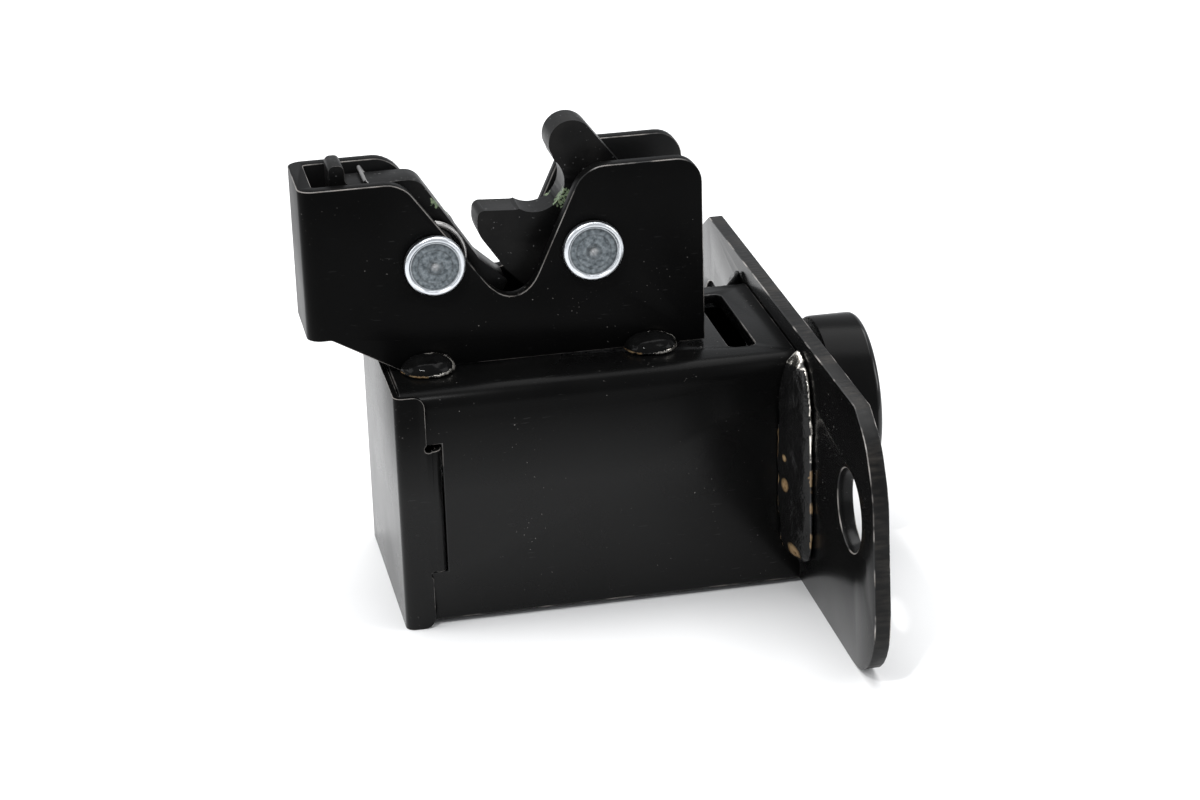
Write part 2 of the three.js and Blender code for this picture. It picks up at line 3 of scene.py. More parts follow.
import bmesh
import bpy
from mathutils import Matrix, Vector


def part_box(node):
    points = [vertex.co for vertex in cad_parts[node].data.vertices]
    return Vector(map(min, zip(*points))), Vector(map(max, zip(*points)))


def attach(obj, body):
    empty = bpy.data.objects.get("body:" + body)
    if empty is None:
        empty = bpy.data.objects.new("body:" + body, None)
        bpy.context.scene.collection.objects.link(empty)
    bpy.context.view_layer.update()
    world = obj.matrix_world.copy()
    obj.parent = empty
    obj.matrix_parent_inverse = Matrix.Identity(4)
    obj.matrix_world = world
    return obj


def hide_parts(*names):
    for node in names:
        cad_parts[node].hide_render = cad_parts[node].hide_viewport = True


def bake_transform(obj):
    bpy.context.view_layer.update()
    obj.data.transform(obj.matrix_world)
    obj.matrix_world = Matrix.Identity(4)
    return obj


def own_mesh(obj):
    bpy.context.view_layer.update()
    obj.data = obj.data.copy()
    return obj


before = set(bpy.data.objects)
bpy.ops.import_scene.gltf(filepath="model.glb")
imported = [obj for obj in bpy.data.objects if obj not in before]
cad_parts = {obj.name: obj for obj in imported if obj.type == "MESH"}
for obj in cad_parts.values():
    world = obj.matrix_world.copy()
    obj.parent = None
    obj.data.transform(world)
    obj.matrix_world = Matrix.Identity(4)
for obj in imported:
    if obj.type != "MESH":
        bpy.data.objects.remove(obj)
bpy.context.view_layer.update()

bpy.ops.object.select_all(action="DESELECT")


# ---- The studio ----------------------------------------------------------------------------------
# A pale floor, one large softbox overhead, a softer one on each side, a small lamp for glints, and
# the camera, a little above the latch and just left of square on to the side of its box.
MM = 0.001
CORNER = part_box("box_channel")[0]     # the box's lower left front corner, where measuring starts


def at(x, y, z):
    """A place given in millimetres from the box's lower left front corner."""
    return CORNER + Vector((x, y, z)) * MM


class Value:
    """A node's output that can be added, subtracted and multiplied, each by one Math node."""

    def __init__(self, tree, socket):
        self.tree = tree
        self.socket = socket

    def maths(self, operation, *terms):
        node = self.tree.nodes.new("ShaderNodeMath")
        node.operation = operation
        for place, term in enumerate(terms):
            if isinstance(term, Value):
                self.tree.links.new(term.socket, node.inputs[place])
            else:
                node.inputs[place].default_value = term
        return Value(self.tree, node.outputs[0])

    def __add__(self, other):
        return self.maths("ADD", self, other)

    def __radd__(self, other):
        return self.maths("ADD", other, self)

    def __sub__(self, other):
        return self.maths("SUBTRACT", self, other)

    def __rsub__(self, other):
        return self.maths("SUBTRACT", other, self)

    def __mul__(self, other):
        return self.maths("MULTIPLY", self, other)

    def __rmul__(self, other):
        return self.maths("MULTIPLY", other, self)


class Finish:
    """A material on one Principled shader, and the method that adds every other kind of node."""

    def __init__(self, name, **settings):
        self.material = bpy.data.materials.new(name)
        self.material.use_nodes = True
        self.tree = self.material.node_tree
        self.shader = self.tree.nodes["Principled BSDF"]
        self.place = self.node("TexCoord", output="Object")
        for socket, value in settings.items():
            self.feed(socket.replace("_", " "), value)

    def node(self, kind, settings=None, inputs=None, output=0):
        node = self.tree.nodes.new("ShaderNode" + kind)
        for name, value in (settings or {}).items():
            setattr(node, name, value)
        for name, value in (inputs or {}).items():
            if isinstance(value, Value):
                self.tree.links.new(value.socket, node.inputs[name])
            else:
                node.inputs[name].default_value = value
        return Value(self.tree, node.outputs[output])

    def feed(self, socket, value):
        if isinstance(value, Value):
            self.tree.links.new(value.socket, self.shader.inputs[socket])
        else:
            self.shader.inputs[socket].default_value = value

    def noise(self, scale, detail=3.0, stretch=(1, 1, 1)):
        """Cloudy noise from 0 to 1, its grains about 1 / scale across, in metres."""
        spot = self.node("Mapping", inputs={"Vector": self.place, "Scale": stretch})
        return self.node("TexNoise", inputs={"Vector": spot, "Scale": scale, "Detail": detail})

    def above(self, value, low, high):
        """0 below low, 1 above high, and an even slope between; the other way round if high is
        the smaller."""
        return self.node("MapRange", inputs={"Value": value, "From Min": low, "From Max": high})

    def mix(self, factor, first, second):
        """The first colour where the factor is 0, the second where it is 1."""
        return self.node("MixRGB", inputs={"Fac": factor, "Color1": first, "Color2": second})

    def away(self, centre, axes=(1, 1, 1)):
        """The distance from a place in metres, measured only along the axes given as 1."""
        spot = self.node("Mapping", inputs={"Vector": self.place, "Scale": axes})
        return self.node("VectorMath", {"operation": "DISTANCE"}, {0: spot, 1: centre * Vector(axes)},
                         output="Value")

    def near(self, centre, radius, core=0.25):
        """1 at a place and out to a core, a share of the radius, then falling to 0 at the radius."""
        return self.above(self.away(centre), radius, radius * core)

    def bumps(self, height, distance, strength=1.0):
        """Raises the surface by a height from 0 to 1 times a distance in metres."""
        bump = self.node("Bump", inputs={"Height": height, "Distance": distance, "Strength": strength})
        self.feed("Normal", bump)


def grey(level, warmth=0.0):
    return (level * (1 + warmth), level, level * (1 - warmth), 1)


def softbox(name, place, target, width, height, power):
    bpy.ops.object.light_add(type="AREA", location=place)
    light = bpy.context.object
    light.name = name
    light.data.shape = "RECTANGLE"
    light.data.size = width
    light.data.size_y = height
    light.data.energy = power
    light.rotation_euler = (Vector(target) - Vector(place)).to_track_quat("-Z", "Y").to_euler()


scene = bpy.context.scene
scene.view_settings.view_transform = "Standard"
world = bpy.data.worlds.new("studio")
world.use_nodes = True
world.node_tree.nodes["Background"].inputs["Color"].default_value = (0.95, 0.97, 1.0, 1)
world.node_tree.nodes["Background"].inputs["Strength"].default_value = 0.55
scene.world = world

softbox("softbox_top", (0.05, 0.25, 0.9), (0, 0, 0), 1.0, 0.8, 9)
softbox("softbox_left", (-0.8, 0.1, 0.45), (0, 0, 0.04), 0.5, 0.6, 3)
softbox("softbox_right", (0.75, -0.35, 0.5), (0, 0, 0.04), 0.4, 0.5, 2)
softbox("glint", (-0.3, -0.45, 0.85), (0, 0, 0.04), 0.05, 0.05, 2.5)

bpy.ops.mesh.primitive_grid_add(x_subdivisions=2, y_subdivisions=2, size=6, location=(0, 0, 0))
floor = bpy.context.object
floor.name = "floor"
pale = Finish("pale_floor", Base_Color=grey(0.9), Roughness=0.9)
floor.data.materials.append(pale.material)

camera_data = bpy.data.cameras.new("camera")
camera_data.lens = 91.6
camera_data.sensor_width = 36
camera_data.shift_x = 0.0235
camera_data.shift_y = 0.0162
camera = bpy.data.objects.new("camera", camera_data)
scene.collection.objects.link(camera)
camera.location = (-0.11114, -0.5723, 0.27453)
camera.rotation_euler = (math.radians(67.48), math.radians(1.879), math.radians(-11.34))
scene.camera = camera


# ---- Box channel ---------------------------------------------------------------------------------
# An upside-down U of 3 mm sheet, folded on a press and painted black. Its top has the slot near
# the plate and the window for the pusher arm; its sides have a slot each for the cover's tabs.
BOX = (81, 47, 49.4)                  # length, width and height
SHEET = 3.0                           # thickness
BOX_BEND = 4.0                        # outer radius of the folds
PLATE_SLOT = (68.5, 8, 5.7, 31, 1.6)  # left, near, length, width and corner radius
ARM_WINDOW = (11, 19.2, 13, 9, 0.8)
TAB_SLOT = (3.8, 7.7, 10.7, 38.4)     # left, right, lower and upper ends
THIN_PAINT = (6, 22)                  # from this to that far off a fold the paint gets its full gloss


def edit(piece):
    bpy.ops.object.select_all(action="DESELECT")
    piece.select_set(True)
    bpy.context.view_layer.objects.active = piece
    bpy.ops.object.mode_set(mode="EDIT")


def done():
    bpy.ops.object.mode_set(mode="OBJECT")
    bpy.ops.object.select_all(action="DESELECT")


def settle(piece):
    """Puts the object at the origin, unturned and unscaled, with its place in its mesh."""
    bpy.ops.object.select_all(action="DESELECT")
    piece.select_set(True)
    bpy.context.view_layer.objects.active = piece
    bpy.ops.object.transform_apply(location=True, rotation=True, scale=True)
    bpy.ops.object.select_all(action="DESELECT")


def drawn(name, corners, axis, low, high):
    """A solid from an outline drawn corner by corner, each (u, v) or (u, v, radius) in
    millimetres, and drawn out along an axis from low to high."""
    lay = {"x": lambda u, v, w: at(w, u, v), "y": lambda u, v, w: at(u, w, v),
           "z": lambda u, v, w: at(u, v, w)}[axis]
    bpy.ops.mesh.primitive_plane_add(size=MM, location=(0, 0, 0))
    piece = bpy.context.object
    piece.name = name
    edit(piece)
    bpy.ops.mesh.select_all(action="SELECT")
    bpy.ops.mesh.merge(type="CENTER")
    here = lay(*corners[0][:2], low)
    bpy.ops.transform.translate(value=here)
    for corner in corners[1:]:
        there = lay(*corner[:2], low)
        bpy.ops.mesh.extrude_region_move(TRANSFORM_OT_translate={"value": there - here})
        here = there
    bpy.ops.mesh.select_all(action="SELECT")
    bpy.ops.mesh.edge_face_add()
    for i, corner in enumerate(corners):
        if len(corner) > 2:
            spot = Vector(corner[:2])
            before = (Vector(corners[i - 1][:2]) - spot).normalized()
            after = (Vector(corners[(i + 1) % len(corners)][:2]) - spot).normalized()
            half = before.angle(after) / 2
            mesh = bmesh.from_edit_mesh(piece.data)
            target = lay(*corner[:2], low)
            for vertex in mesh.verts:
                vertex.select_set((vertex.co - target).length < 0.02 * MM)
            mesh.select_flush(True)
            bmesh.update_edit_mesh(piece.data)
            bpy.ops.mesh.bevel(offset=corner[2] * MM / math.tan(half), offset_type="OFFSET",
                               segments=max(3, round((math.pi - 2 * half) * 5)), affect="VERTICES")
    bpy.ops.mesh.select_all(action="SELECT")
    bpy.ops.mesh.extrude_region_move(
        TRANSFORM_OT_translate={"value": lay(0, 0, high) - lay(0, 0, low)})
    bpy.ops.mesh.select_all(action="SELECT")
    bpy.ops.mesh.normals_make_consistent(inside=False)
    done()
    return piece


def round_bar(name, centre, radius, axis, low, high, sides=64):
    """A cylinder along an axis; centre is its two other places, all in millimetres."""
    middle = (low + high) / 2
    place, turn = {"x": (at(middle, *centre), (0, math.pi / 2, 0)),
                   "y": (at(centre[0], middle, centre[1]), (math.pi / 2, 0, 0)),
                   "z": (at(*centre, middle), (0, 0, 0))}[axis]
    bpy.ops.mesh.primitive_cylinder_add(vertices=sides, radius=radius * MM, depth=(high - low) * MM,
                                        location=place, rotation=turn)
    piece = bpy.context.object
    piece.name = name
    settle(piece)
    return piece


def apply(piece, kind, **settings):
    """Adds a modifier with its settings and applies it."""
    bpy.context.view_layer.objects.active = piece
    modifier = piece.modifiers.new(kind.lower(), kind)
    for name, value in settings.items():
        setattr(modifier, name, value)
    bpy.ops.object.modifier_apply(modifier=modifier.name)


def carve(piece, tools, operation="DIFFERENCE"):
    """Cuts, joins or trims a piece with others, which are used up."""
    for tool in tools:
        apply(piece, "BOOLEAN", operation=operation, solver="EXACT", object=tool)
        bpy.data.objects.remove(tool)


def deburr(piece, width, finishes, segments=2, angle=32, smooth=40, clamp=True):
    """Breaks every sharp edge by a width in millimetres; clamp narrows it all over where edges
    crowd. The last finish given is the broken edge's own, where the paint is thin and worn."""
    for finish in finishes:
        piece.data.materials.append(finish.material)
    apply(piece, "BEVEL", width=width * MM, segments=segments, limit_method="ANGLE",
          angle_limit=math.radians(angle), material=len(piece.data.materials) - 1,
          use_clamp_overlap=clamp)
    bpy.context.view_layer.objects.active = piece
    piece.select_set(True)
    bpy.ops.object.shade_smooth_by_angle(angle=math.radians(smooth))
    bpy.ops.object.select_all(action="DESELECT")


def black_paint(name, roughness=0.2, shine=0.15):
    """Glossy black over sheet steel: a fine orange peel, rubbed patches, dust and hairlines."""
    paint = Finish(name, Specular_IOR_Level=shine)
    rubbed = paint.noise(60, 4)
    dust = paint.above(paint.noise(1900, 1), 0.735, 0.76)
    patches = paint.above(paint.noise(90, 3), 0.5, 0.66)
    scratches = paint.above(paint.noise(260, 2, (1, 9, 9)), 0.69, 0.72)
    hairline = scratches * paint.above(paint.noise(40, 1), 0.5, 0.62)
    base = paint.mix(rubbed, grey(0.0015), grey(0.0045))
    base = paint.mix(hairline * 0.2, base, grey(0.07))
    base = paint.mix(dust * patches * 0.6, base, grey(0.26, 0.05))
    paint.feed("Base Color", base)
    paint.feed("Roughness", roughness + 0.16 * rubbed + 0.2 * dust * patches)
    paint.bumps(paint.noise(900, 2) + 0.5 * paint.noise(230, 2), 0.008 * MM)
    return paint


def worn_edge(name, bare=0.32, start=0.42):
    """The same paint at a sharp edge, rubbed through here and there to brown primer and steel."""
    edge = Finish(name, Specular_IOR_Level=0.25)
    through = edge.above(edge.noise(170, 4), start, start + 0.16)
    tone = edge.mix(edge.noise(400, 2), (bare, bare * 0.86, bare * 0.74, 1), grey(bare * 1.2))
    edge.feed("Base Color", edge.mix(through, grey(0.012), tone))
    edge.feed("Roughness", 0.32 + 0.15 * through)
    edge.feed("Metallic", 0.5 * through)
    return edge


paint = black_paint("box_paint", shine=0.05)
from_fold = paint.away(at(0, 0, BOX[2]), (0, 1, 1))
paint.feed("Coat Roughness", 0.22)
paint.feed("Coat Weight", 0.28 * paint.above(from_fold, THIN_PAINT[0] * MM, THIN_PAINT[1] * MM))
paint_edge = worn_edge("box_paint_edge", bare=0.16, start=0.52)


def u_profile(name, inset, low, spare):
    """The box's U profile as one long solid, smaller all round by an inset. It starts at a
    height and runs past both ends by a spare length."""
    near, far, top, bend = inset, BOX[1] - inset, BOX[2] - inset, BOX_BEND - inset
    return drawn(name, [(near, low), (far, low), (far, top, bend), (near, top, bend)],
                 "x", -spare, BOX[0] + spare)


def slot_tool(left, near, length, width, corner):
    """A cutter for a slot in the box's top, with rounded corners."""
    right, far = left + length, near + width
    return drawn("slot_tool", [(left, near, corner), (right, near, corner), (right, far, corner),
                               (left, far, corner)], "z", BOX[2] - 2 * SHEET, BOX[2] + 2)


left, right, low, high = TAB_SLOT
channel = u_profile("box_body", 0, 0, 0)
carve(channel, [u_profile("hollow", SHEET, -5, 1), slot_tool(*PLATE_SLOT), slot_tool(*ARM_WINDOW),
                drawn("tab_slot", [(left, low), (right, low), (right, high), (left, high)],
                      "y", -2, BOX[1] + 2)])
deburr(channel, 0.24, [paint, paint_edge])
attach(channel, "frame")
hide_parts("box_channel")


# ---- End cover -----------------------------------------------------------------------------------
# A thin sheet cap pushed over the box's left end. Its side flanges carry a tab each, folded
# inwards so that it snaps into the box's side slot.
COVER_SHEET = 1.2                     # thickness
FLANGE = 4.5                          # how far along the box each side flange reaches
GAP = 0.3                             # between pieces that are fitted together
BOTTOM = -1.0                         # the cover's and the plate's lower edges
HOOK = 7.45                           # how far along the box each tab reaches
TAB = (11.3, 37.6)                    # its lower and upper ends
RELIEF = 0.85                         # radius of the round cut at each end of a tab
outside = GAP + COVER_SHEET

cover = drawn("end_cap", [
    (FLANGE, -outside), (-outside, -outside, 1.9), (-outside, BOX[1] + outside, 1.9),
    (FLANGE, BOX[1] + outside), (FLANGE, BOX[1] + GAP), (-GAP, BOX[1] + GAP, 0.8), (-GAP, -GAP, 0.8),
    (FLANGE, -GAP)], "z", BOTTOM, BOX[2])
carve(cover, [drawn("cover_side", [
    (-3, BOTTOM - 1), (-3, BOX[2] + 1), (-outside, BOX[2] + 1), (-outside, BOX[2]), (FLANGE, BOX[2], 2.4),
    (FLANGE, BOTTOM, 2.4), (-outside, BOTTOM), (-outside, BOTTOM - 1)], "y", -4, BOX[1] + 4)], "INTERSECT")
for side, turn in ((0, 1), (BOX[1], -1)):
    tab = drawn("snap_tab", [
        (FLANGE - 1.2, side - outside * turn), (HOOK, side - outside * turn, 1.8), (HOOK, side + 2.4 * turn),
        (HOOK - COVER_SHEET, side + 2.4 * turn), (HOOK - COVER_SHEET, side - GAP * turn, 0.6),
        (FLANGE - 1.2, side - GAP * turn)], "z", *TAB)
    carve(cover, [tab], "UNION")
carve(cover, [round_bar("relief", (FLANGE + 0.4, z), RELIEF, "y", -4, BOX[1] + 4, 24)
              for z in (TAB[0] - 0.6, TAB[1] + 0.6)])
# The cover's edge finish is real edge wear, with its bare metal made pale enough to double as a painted
# highlight along the cover's top edge.
deburr(cover, 0.11, [paint, worn_edge("cover_edge_wear_and_highlight", bare=0.26, start=0.46)], clamp=False)
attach(cover, "frame")
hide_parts("end_cover")


# ---- Mounting plate ------------------------------------------------------------------------------
# 3.2 mm plate, sheared to shape with two ears and two bolt holes, welded across the box's end.
# The shear leaves upright striations on its edge, which the paint doesn't fill.
PLATE = (81.3, 84.5)                  # its inner and outer faces
PLATE_MIDDLE = 20.0
PLATE_HALF = 72.5                     # from its middle to each end
PLATE_TOP = 53.2
EAR_HOLE = (54.9, 30.3, 8.3)          # out from the middle, height and radius
AXIS = (23.5, 29.5)                   # the push rod's centre line
ROD_HOLE = 8.3                        # radius of the hole for the rod's bush

ear = [(57.9, PLATE_TOP), (65.6, PLATE_TOP - 4.6, 10), (70.6, PLATE_TOP - 13.8, 14), (PLATE_HALF, 16, 20),
       (PLATE_HALF, BOTTOM, 15)]
plate = drawn("ear_plate", [(PLATE_MIDDLE + u, *rest) for u, *rest in ear]
              + [(PLATE_MIDDLE - u, *rest) for u, *rest in reversed(ear)], "x", *PLATE)
out, height, radius = EAR_HOLE
carve(plate, [round_bar("hole", (PLATE_MIDDLE + side * out, height), radius, "x", 78, 88, 96)
              for side in (-1, 1)] + [round_bar("hole", AXIS, ROD_HOLE, "x", 78, 88)])


def sheared_paint(name):
    """Paint lying thin over the fine upright tears of a sheared edge."""
    edge = Finish(name, Specular_IOR_Level=0.16)
    tears = edge.noise(900, 3, (0.25, 1, 1))
    flats = edge.noise(160, 2)
    torn = edge.above(tears * flats, 0.22, 0.42)
    edge.feed("Base Color", edge.mix(torn, grey(0.004), grey(0.02, 0.12)))
    edge.feed("Roughness", 0.3 + 0.25 * tears)
    edge.bumps(tears * edge.above(flats, 0.3, 0.6), 0.2 * MM)
    return edge


def paint_faces(piece, slot, test):
    """Gives the faces whose normal passes the test one of the piece's material slots."""
    edit(piece)
    bpy.ops.mesh.select_all(action="DESELECT")
    mesh = bmesh.from_edit_mesh(piece.data)
    for face in mesh.faces:
        face.select_set(test(face))
    bmesh.update_edit_mesh(piece.data)
    piece.active_material_index = slot
    bpy.ops.object.material_slot_assign()
    done()


plate_edge = sheared_paint("sheared_edge")
plate_paint = black_paint("plate_paint", roughness=0.16)
plate.data.materials.append(plate_paint.material)
plate.data.materials.append(plate_edge.material)
holes = [at(PLATE[0], PLATE_MIDDLE + side * out, height) for side in (-1, 1)]
paint_faces(plate, 1, lambda face: abs(face.normal.x) < 0.2 and all(
    (face.calc_center_median() - hole).length > 9 * MM for hole in holes))
deburr(plate, 0.2, [worn_edge("plate_paint_edge", bare=0.36, start=0.5)])
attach(plate, "frame")
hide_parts("mounting_plate")


# ---- Latch housing -------------------------------------------------------------------------------
# One strap folded to a U in plan, so both walls and the left end are a single piece. The V that
# guides the striker is cut in both walls, and two rivets cross between them.
WALLS = (13.2, 34.2)                  # the outer faces of the near and far walls
HOUSING = (-16.0, 64.7, 49.7, 88.6)   # left, right, foot and top
PAWL_PIVOT = (9.9, 71.5)
FORK_PIVOT = (41.9, 71.5)
RIVET_HOLE = 4.3                      # radius of the hole in each wall

left, right, foot, top = HOUSING
near_face, far_face = WALLS
near_inside, far_inside = near_face + SHEET, far_face - SHEET
beyond = right + 3
housing = drawn("catch_housing", [
    (beyond, near_face), (left, near_face, 3), (left, far_face, 3), (beyond, far_face),
    (beyond, far_inside), (left + SHEET, far_inside, 0.7), (left + SHEET, near_inside, 0.7),
    (beyond, near_inside)], "z", foot - 2, top + 2)
carve(housing, [drawn("wall_outline", [
    (-20, 57.4), (-11.3, 57.4, 1.5), (2, foot), (right, foot), (right, top, 5.2), (40.8, top, 6.5),
    (26.4, 57.8, 6.2), (4.4, top, 6.2), (-20, top)], "y", near_face - 3, far_face + 3)], "INTERSECT")
carve(housing, [round_bar("rivet_hole", pivot, RIVET_HOLE, "y", 8, 40) for pivot in (PAWL_PIVOT, FORK_PIVOT)])


def greased(finish, base, spots):
    """Smears of thick green-white grease on a base colour, round some places."""
    smear = sum((finish.near(at(*centre), radius * MM) for centre, radius in spots[1:]),
                finish.near(at(*spots[0][0]), spots[0][1] * MM))
    streaks = finish.above(finish.noise(1700, 4) * finish.above(smear, 0.05, 0.7), 0.45, 0.51)
    tone = finish.mix(finish.noise(2200, 2), (0.03, 0.09, 0.07, 1), (0.36, 0.42, 0.24, 1))
    return finish.mix(streaks, base, tone), streaks


housing_paint = black_paint("housing_paint", roughness=0.26, shine=0.03)
inner_grease = Finish("housing_inner_paint", Specular_IOR_Level=0.2)
smeared, wet = greased(inner_grease, grey(0.004), [((13, 31, 79), 3.5), ((38.5, 31, 78), 1.6)])
inner_grease.feed("Base Color", smeared)
inner_grease.feed("Roughness", 0.34 - 0.14 * wet)
inner_grease.bumps(inner_grease.noise(500, 3), 0.03 * MM)
housing.data.materials.append(housing_paint.material)
housing.data.materials.append(inner_grease.material)
inside = (at(0, near_inside - 1, 0).y, at(0, far_inside + 1, 0).y)
paint_faces(housing, 1, lambda face: abs(face.normal.y) > 0.9
            and inside[0] < face.calc_center_median().y < inside[1])
deburr(housing, 0.17, [worn_edge("housing_edge", bare=0.2, start=0.42)])
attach(housing, "frame")
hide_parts("latch_housing")


# ---- Weld beads ----------------------------------------------------------------------------------
# One long fillet on each side of the box at the plate, and four short ones along the housing's
# foot. The metal froze in ripples; the paint on it is thick and glossy, tan where it burned. The
# tan along the beads' feet also stands in as a painted reflection line, and paint rubbed through
# to bright steel on parts of the rims and on the near long bead's tip is a painted highlight.
BURNS = [((77, -3, 22.6), 1.6), ((79.6, -6, 16.8), 1.1), ((77, -3, 28.6), 0.9), ((78.4, -4.6, 8.4), 2.2)]
AT_PLATE = 80.4                       # the long beads' skin is tan beyond this, beside the plate,
AT_BOX = 0.8                          # and this close to the box,
TAN_TOP = 40                          # up to this height
PAINTED_HIGHLIGHT_EDGE, PAINTED_HIGHLIGHT_TIP = 30, 48.4        # the near one's edge and tip get bare steel as a painted highlight above these
SHORT_TAN_TOP = 50.1                  # the short beads' skin is tan up to this height,
PAINTED_HIGHLIGHT_RIM = 0.84                       # and bare steel as a painted highlight from this share of their size outwards


def burnt_paint(name, scorched, bumpiness, roughness=0.06, shine=0.06, spots=()):
    """Glossy paint on weld metal. Scorched, from 0 to 1, is how much of it is burnt tan, and spots
    are places, each with a radius, where it always is."""
    bead = Finish(name, Specular_IOR_Level=shine)
    burns = bead.above(bead.noise(240, 3), 0.72 - 0.22 * scorched, 0.76 - 0.2 * scorched)
    for centre, radius in spots:
        ragged = bead.above(bead.noise(900, 2), 0.2, 0.4)
        burns = burns + bead.near(at(*centre), radius * MM, 0.5) * ragged
    base = bead.mix(bead.noise(500, 3), grey(0.002), grey(0.007))
    tan = bead.mix(bead.noise(900, 2), (0.2, 0.09, 0.025, 1), (0.5, 0.38, 0.22, 1))
    bead.feed("Base Color", bead.mix(burns * 0.8, base, tan))
    bead.feed("Roughness", roughness + roughness * bead.noise(400, 2))
    bead.bumps(bead.noise(1300, 3), bumpiness * MM)
    return bead


long_bead = burnt_paint("long_bead_paint", 0.1, 0.16, 0.14, 0.25, BURNS)
short_bead = burnt_paint("short_bead_paint", 0.05, 0.03)
# The border finish is burnt tan, and along the beads' feet it also stands in as a painted reflection line.
bead_border = burnt_paint("bead_border_paint", 1.0, 0.1, 0.2, 0.5)
# Pale bare steel on parts of the beads' rims and on the near long bead's tip: a painted highlight standing in
# for glints on the glossy paint.
painted_highlight_rim = Finish("weld_rim_painted_highlight")
bare = painted_highlight_rim.above(painted_highlight_rim.noise(420, 3), 0.38, 0.52)
painted_highlight_rim.feed("Base Color", painted_highlight_rim.mix(bare, grey(0.004), (0.85, 0.81, 0.74, 1)))
painted_highlight_rim.feed("Metallic", bare)
painted_highlight_rim.feed("Roughness", 0.3 - 0.1 * bare)
painted_highlight_rim.bumps(painted_highlight_rim.noise(1300, 3), 0.1 * MM)
lumps = bpy.data.textures.new("weld_lumps", "CLOUDS")
lumps.noise_scale = 5 * MM
lumps.noise_depth = 2
ripples = bpy.data.textures.new("weld_ripples", "WOOD")
ripples.wood_type = "BANDNOISE"
ripples.noise_scale = 2.4 * MM
ripples.turbulence = 3


def weld_bead(node, grain, lumpiness, finish, border, rim):
    """A bead swollen and rippled from the plain fillet. Border says of a face's middle whether the
    face is burnt tan, which along a bead's foot also stands in as a painted reflection, and rim
    whether it is rubbed bare to steel as a painted highlight."""
    bpy.ops.object.select_all(action="DESELECT")
    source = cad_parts[node]
    source.select_set(True)
    bpy.context.view_layer.objects.active = source
    bpy.ops.object.duplicate()
    bead = bpy.context.object
    bead.name = node + "_bead"
    bead.parent = None
    for key in [key for key in bead.keys() if key.startswith("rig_")]:
        del bead[key]
    bead.data.materials.clear()
    edit(bead)
    bpy.ops.mesh.select_all(action="SELECT")
    bpy.ops.mesh.remove_doubles(threshold=0.01 * MM)
    done()
    apply(bead, "REMESH", mode="VOXEL", voxel_size=grain * MM)
    apply(bead, "SMOOTH", factor=0.5, iterations=10)
    apply(bead, "DISPLACE", texture=lumps, strength=lumpiness * MM, mid_level=0.55, texture_coords="LOCAL")
    apply(bead, "DISPLACE", texture=ripples, strength=0.5 * lumpiness * MM, mid_level=0.6,
          texture_coords="LOCAL")
    apply(bead, "SMOOTH", factor=0.5, iterations=2)
    for coat in (finish, bead_border, painted_highlight_rim):
        bead.data.materials.append(coat.material)
    paint_faces(bead, 1, lambda face: border(face.calc_center_median()))
    paint_faces(bead, 2, lambda face: rim(face.calc_center_median()))
    bpy.context.view_layer.objects.active = bead
    bead.select_set(True)
    bpy.ops.object.shade_smooth()
    bpy.ops.object.select_all(action="DESELECT")
    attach(bead, "frame")
    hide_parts(node)


def at_edge(spot, skin, away):
    """Whether a place is at a long bead's edge, beside the plate or the box's skin."""
    return spot.x > at(AT_PLATE, 0, 0).x or (spot.y - at(0, skin, 0).y) * away < AT_BOX * MM


def on_painted_highlight_rim(spot, middle, half, away):
    """Whether a place is on the right part of a short bead's rim, where bare steel is a painted highlight."""
    along, across, up = ((spot[i] - middle[i]) / half[i] for i in range(3))
    return along > -0.1 and math.hypot(along, (up - across * away) / 2) > PAINTED_HIGHLIGHT_RIM


# The near long bead's tip and its edge beside the plate get bare steel as a painted highlight.
for node, skin, away in (("plate_weld_front", 0, -1), ("plate_weld_rear", BOX[1], 1)):
    weld_bead(node, 0.4, 0.6, long_bead,
              lambda spot: spot.z < at(0, 0, TAN_TOP).z and at_edge(spot, skin, away),
              lambda spot: away < 0 and (spot.z > at(0, 0, PAINTED_HIGHLIGHT_TIP).z or (
                  spot.z > at(0, 0, PAINTED_HIGHLIGHT_EDGE).z and spot.x > at(AT_PLATE, 0, 0).x)))
for side, away in (("front", -1), ("rear", 1)):
    for number in (1, 2):
        node = f"housing_weld_{side}_{number}"
        low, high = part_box(node)
        middle, half = (low + high) / 2, (high - low) / 2
        weld_bead(node, 0.25, 0.35, short_bead, lambda spot: spot.z < at(0, 0, SHORT_TAN_TOP).z,
                  lambda spot: on_painted_highlight_rim(spot, middle, half, away))


# ---- Rivets and bushes ---------------------------------------------------------------------------
# Zinc-plated steel rivets, headed at both ends by a ring tool that leaves a rim, a shallow groove
# and a centre dimple. Each carries a plain steel bush that keeps the two walls apart.
HEAD = [(6.1, 0.05), (6.15, 0.4), (6.15, 1.25), (6.05, 1.5), (5.85, 1.7), (5.55, 1.8), (5.3, 1.78),
        (5.12, 1.62), (4.98, 1.42), (4.8, 1.4), (4.6, 1.5), (4.0, 1.58), (2.6, 1.62), (1.5, 1.62),
        (1.1, 1.56), (0.85, 1.4), (0.6, 1.2), (0.35, 1.12), (0.15, 1.18), (0, 1.2)]
SHANK = 4.0                           # radius of a rivet between its heads
BUSH = 5.6                            # outer radius of a bush
DISC = 5.1                            # radius of what the ring tool struck
RINGS = ((4.95, 0.35), (3.75, 0.3), (1.75, 0.5))    # dark rings, each with its width; the outer one lies in the head's groove and is painted shade


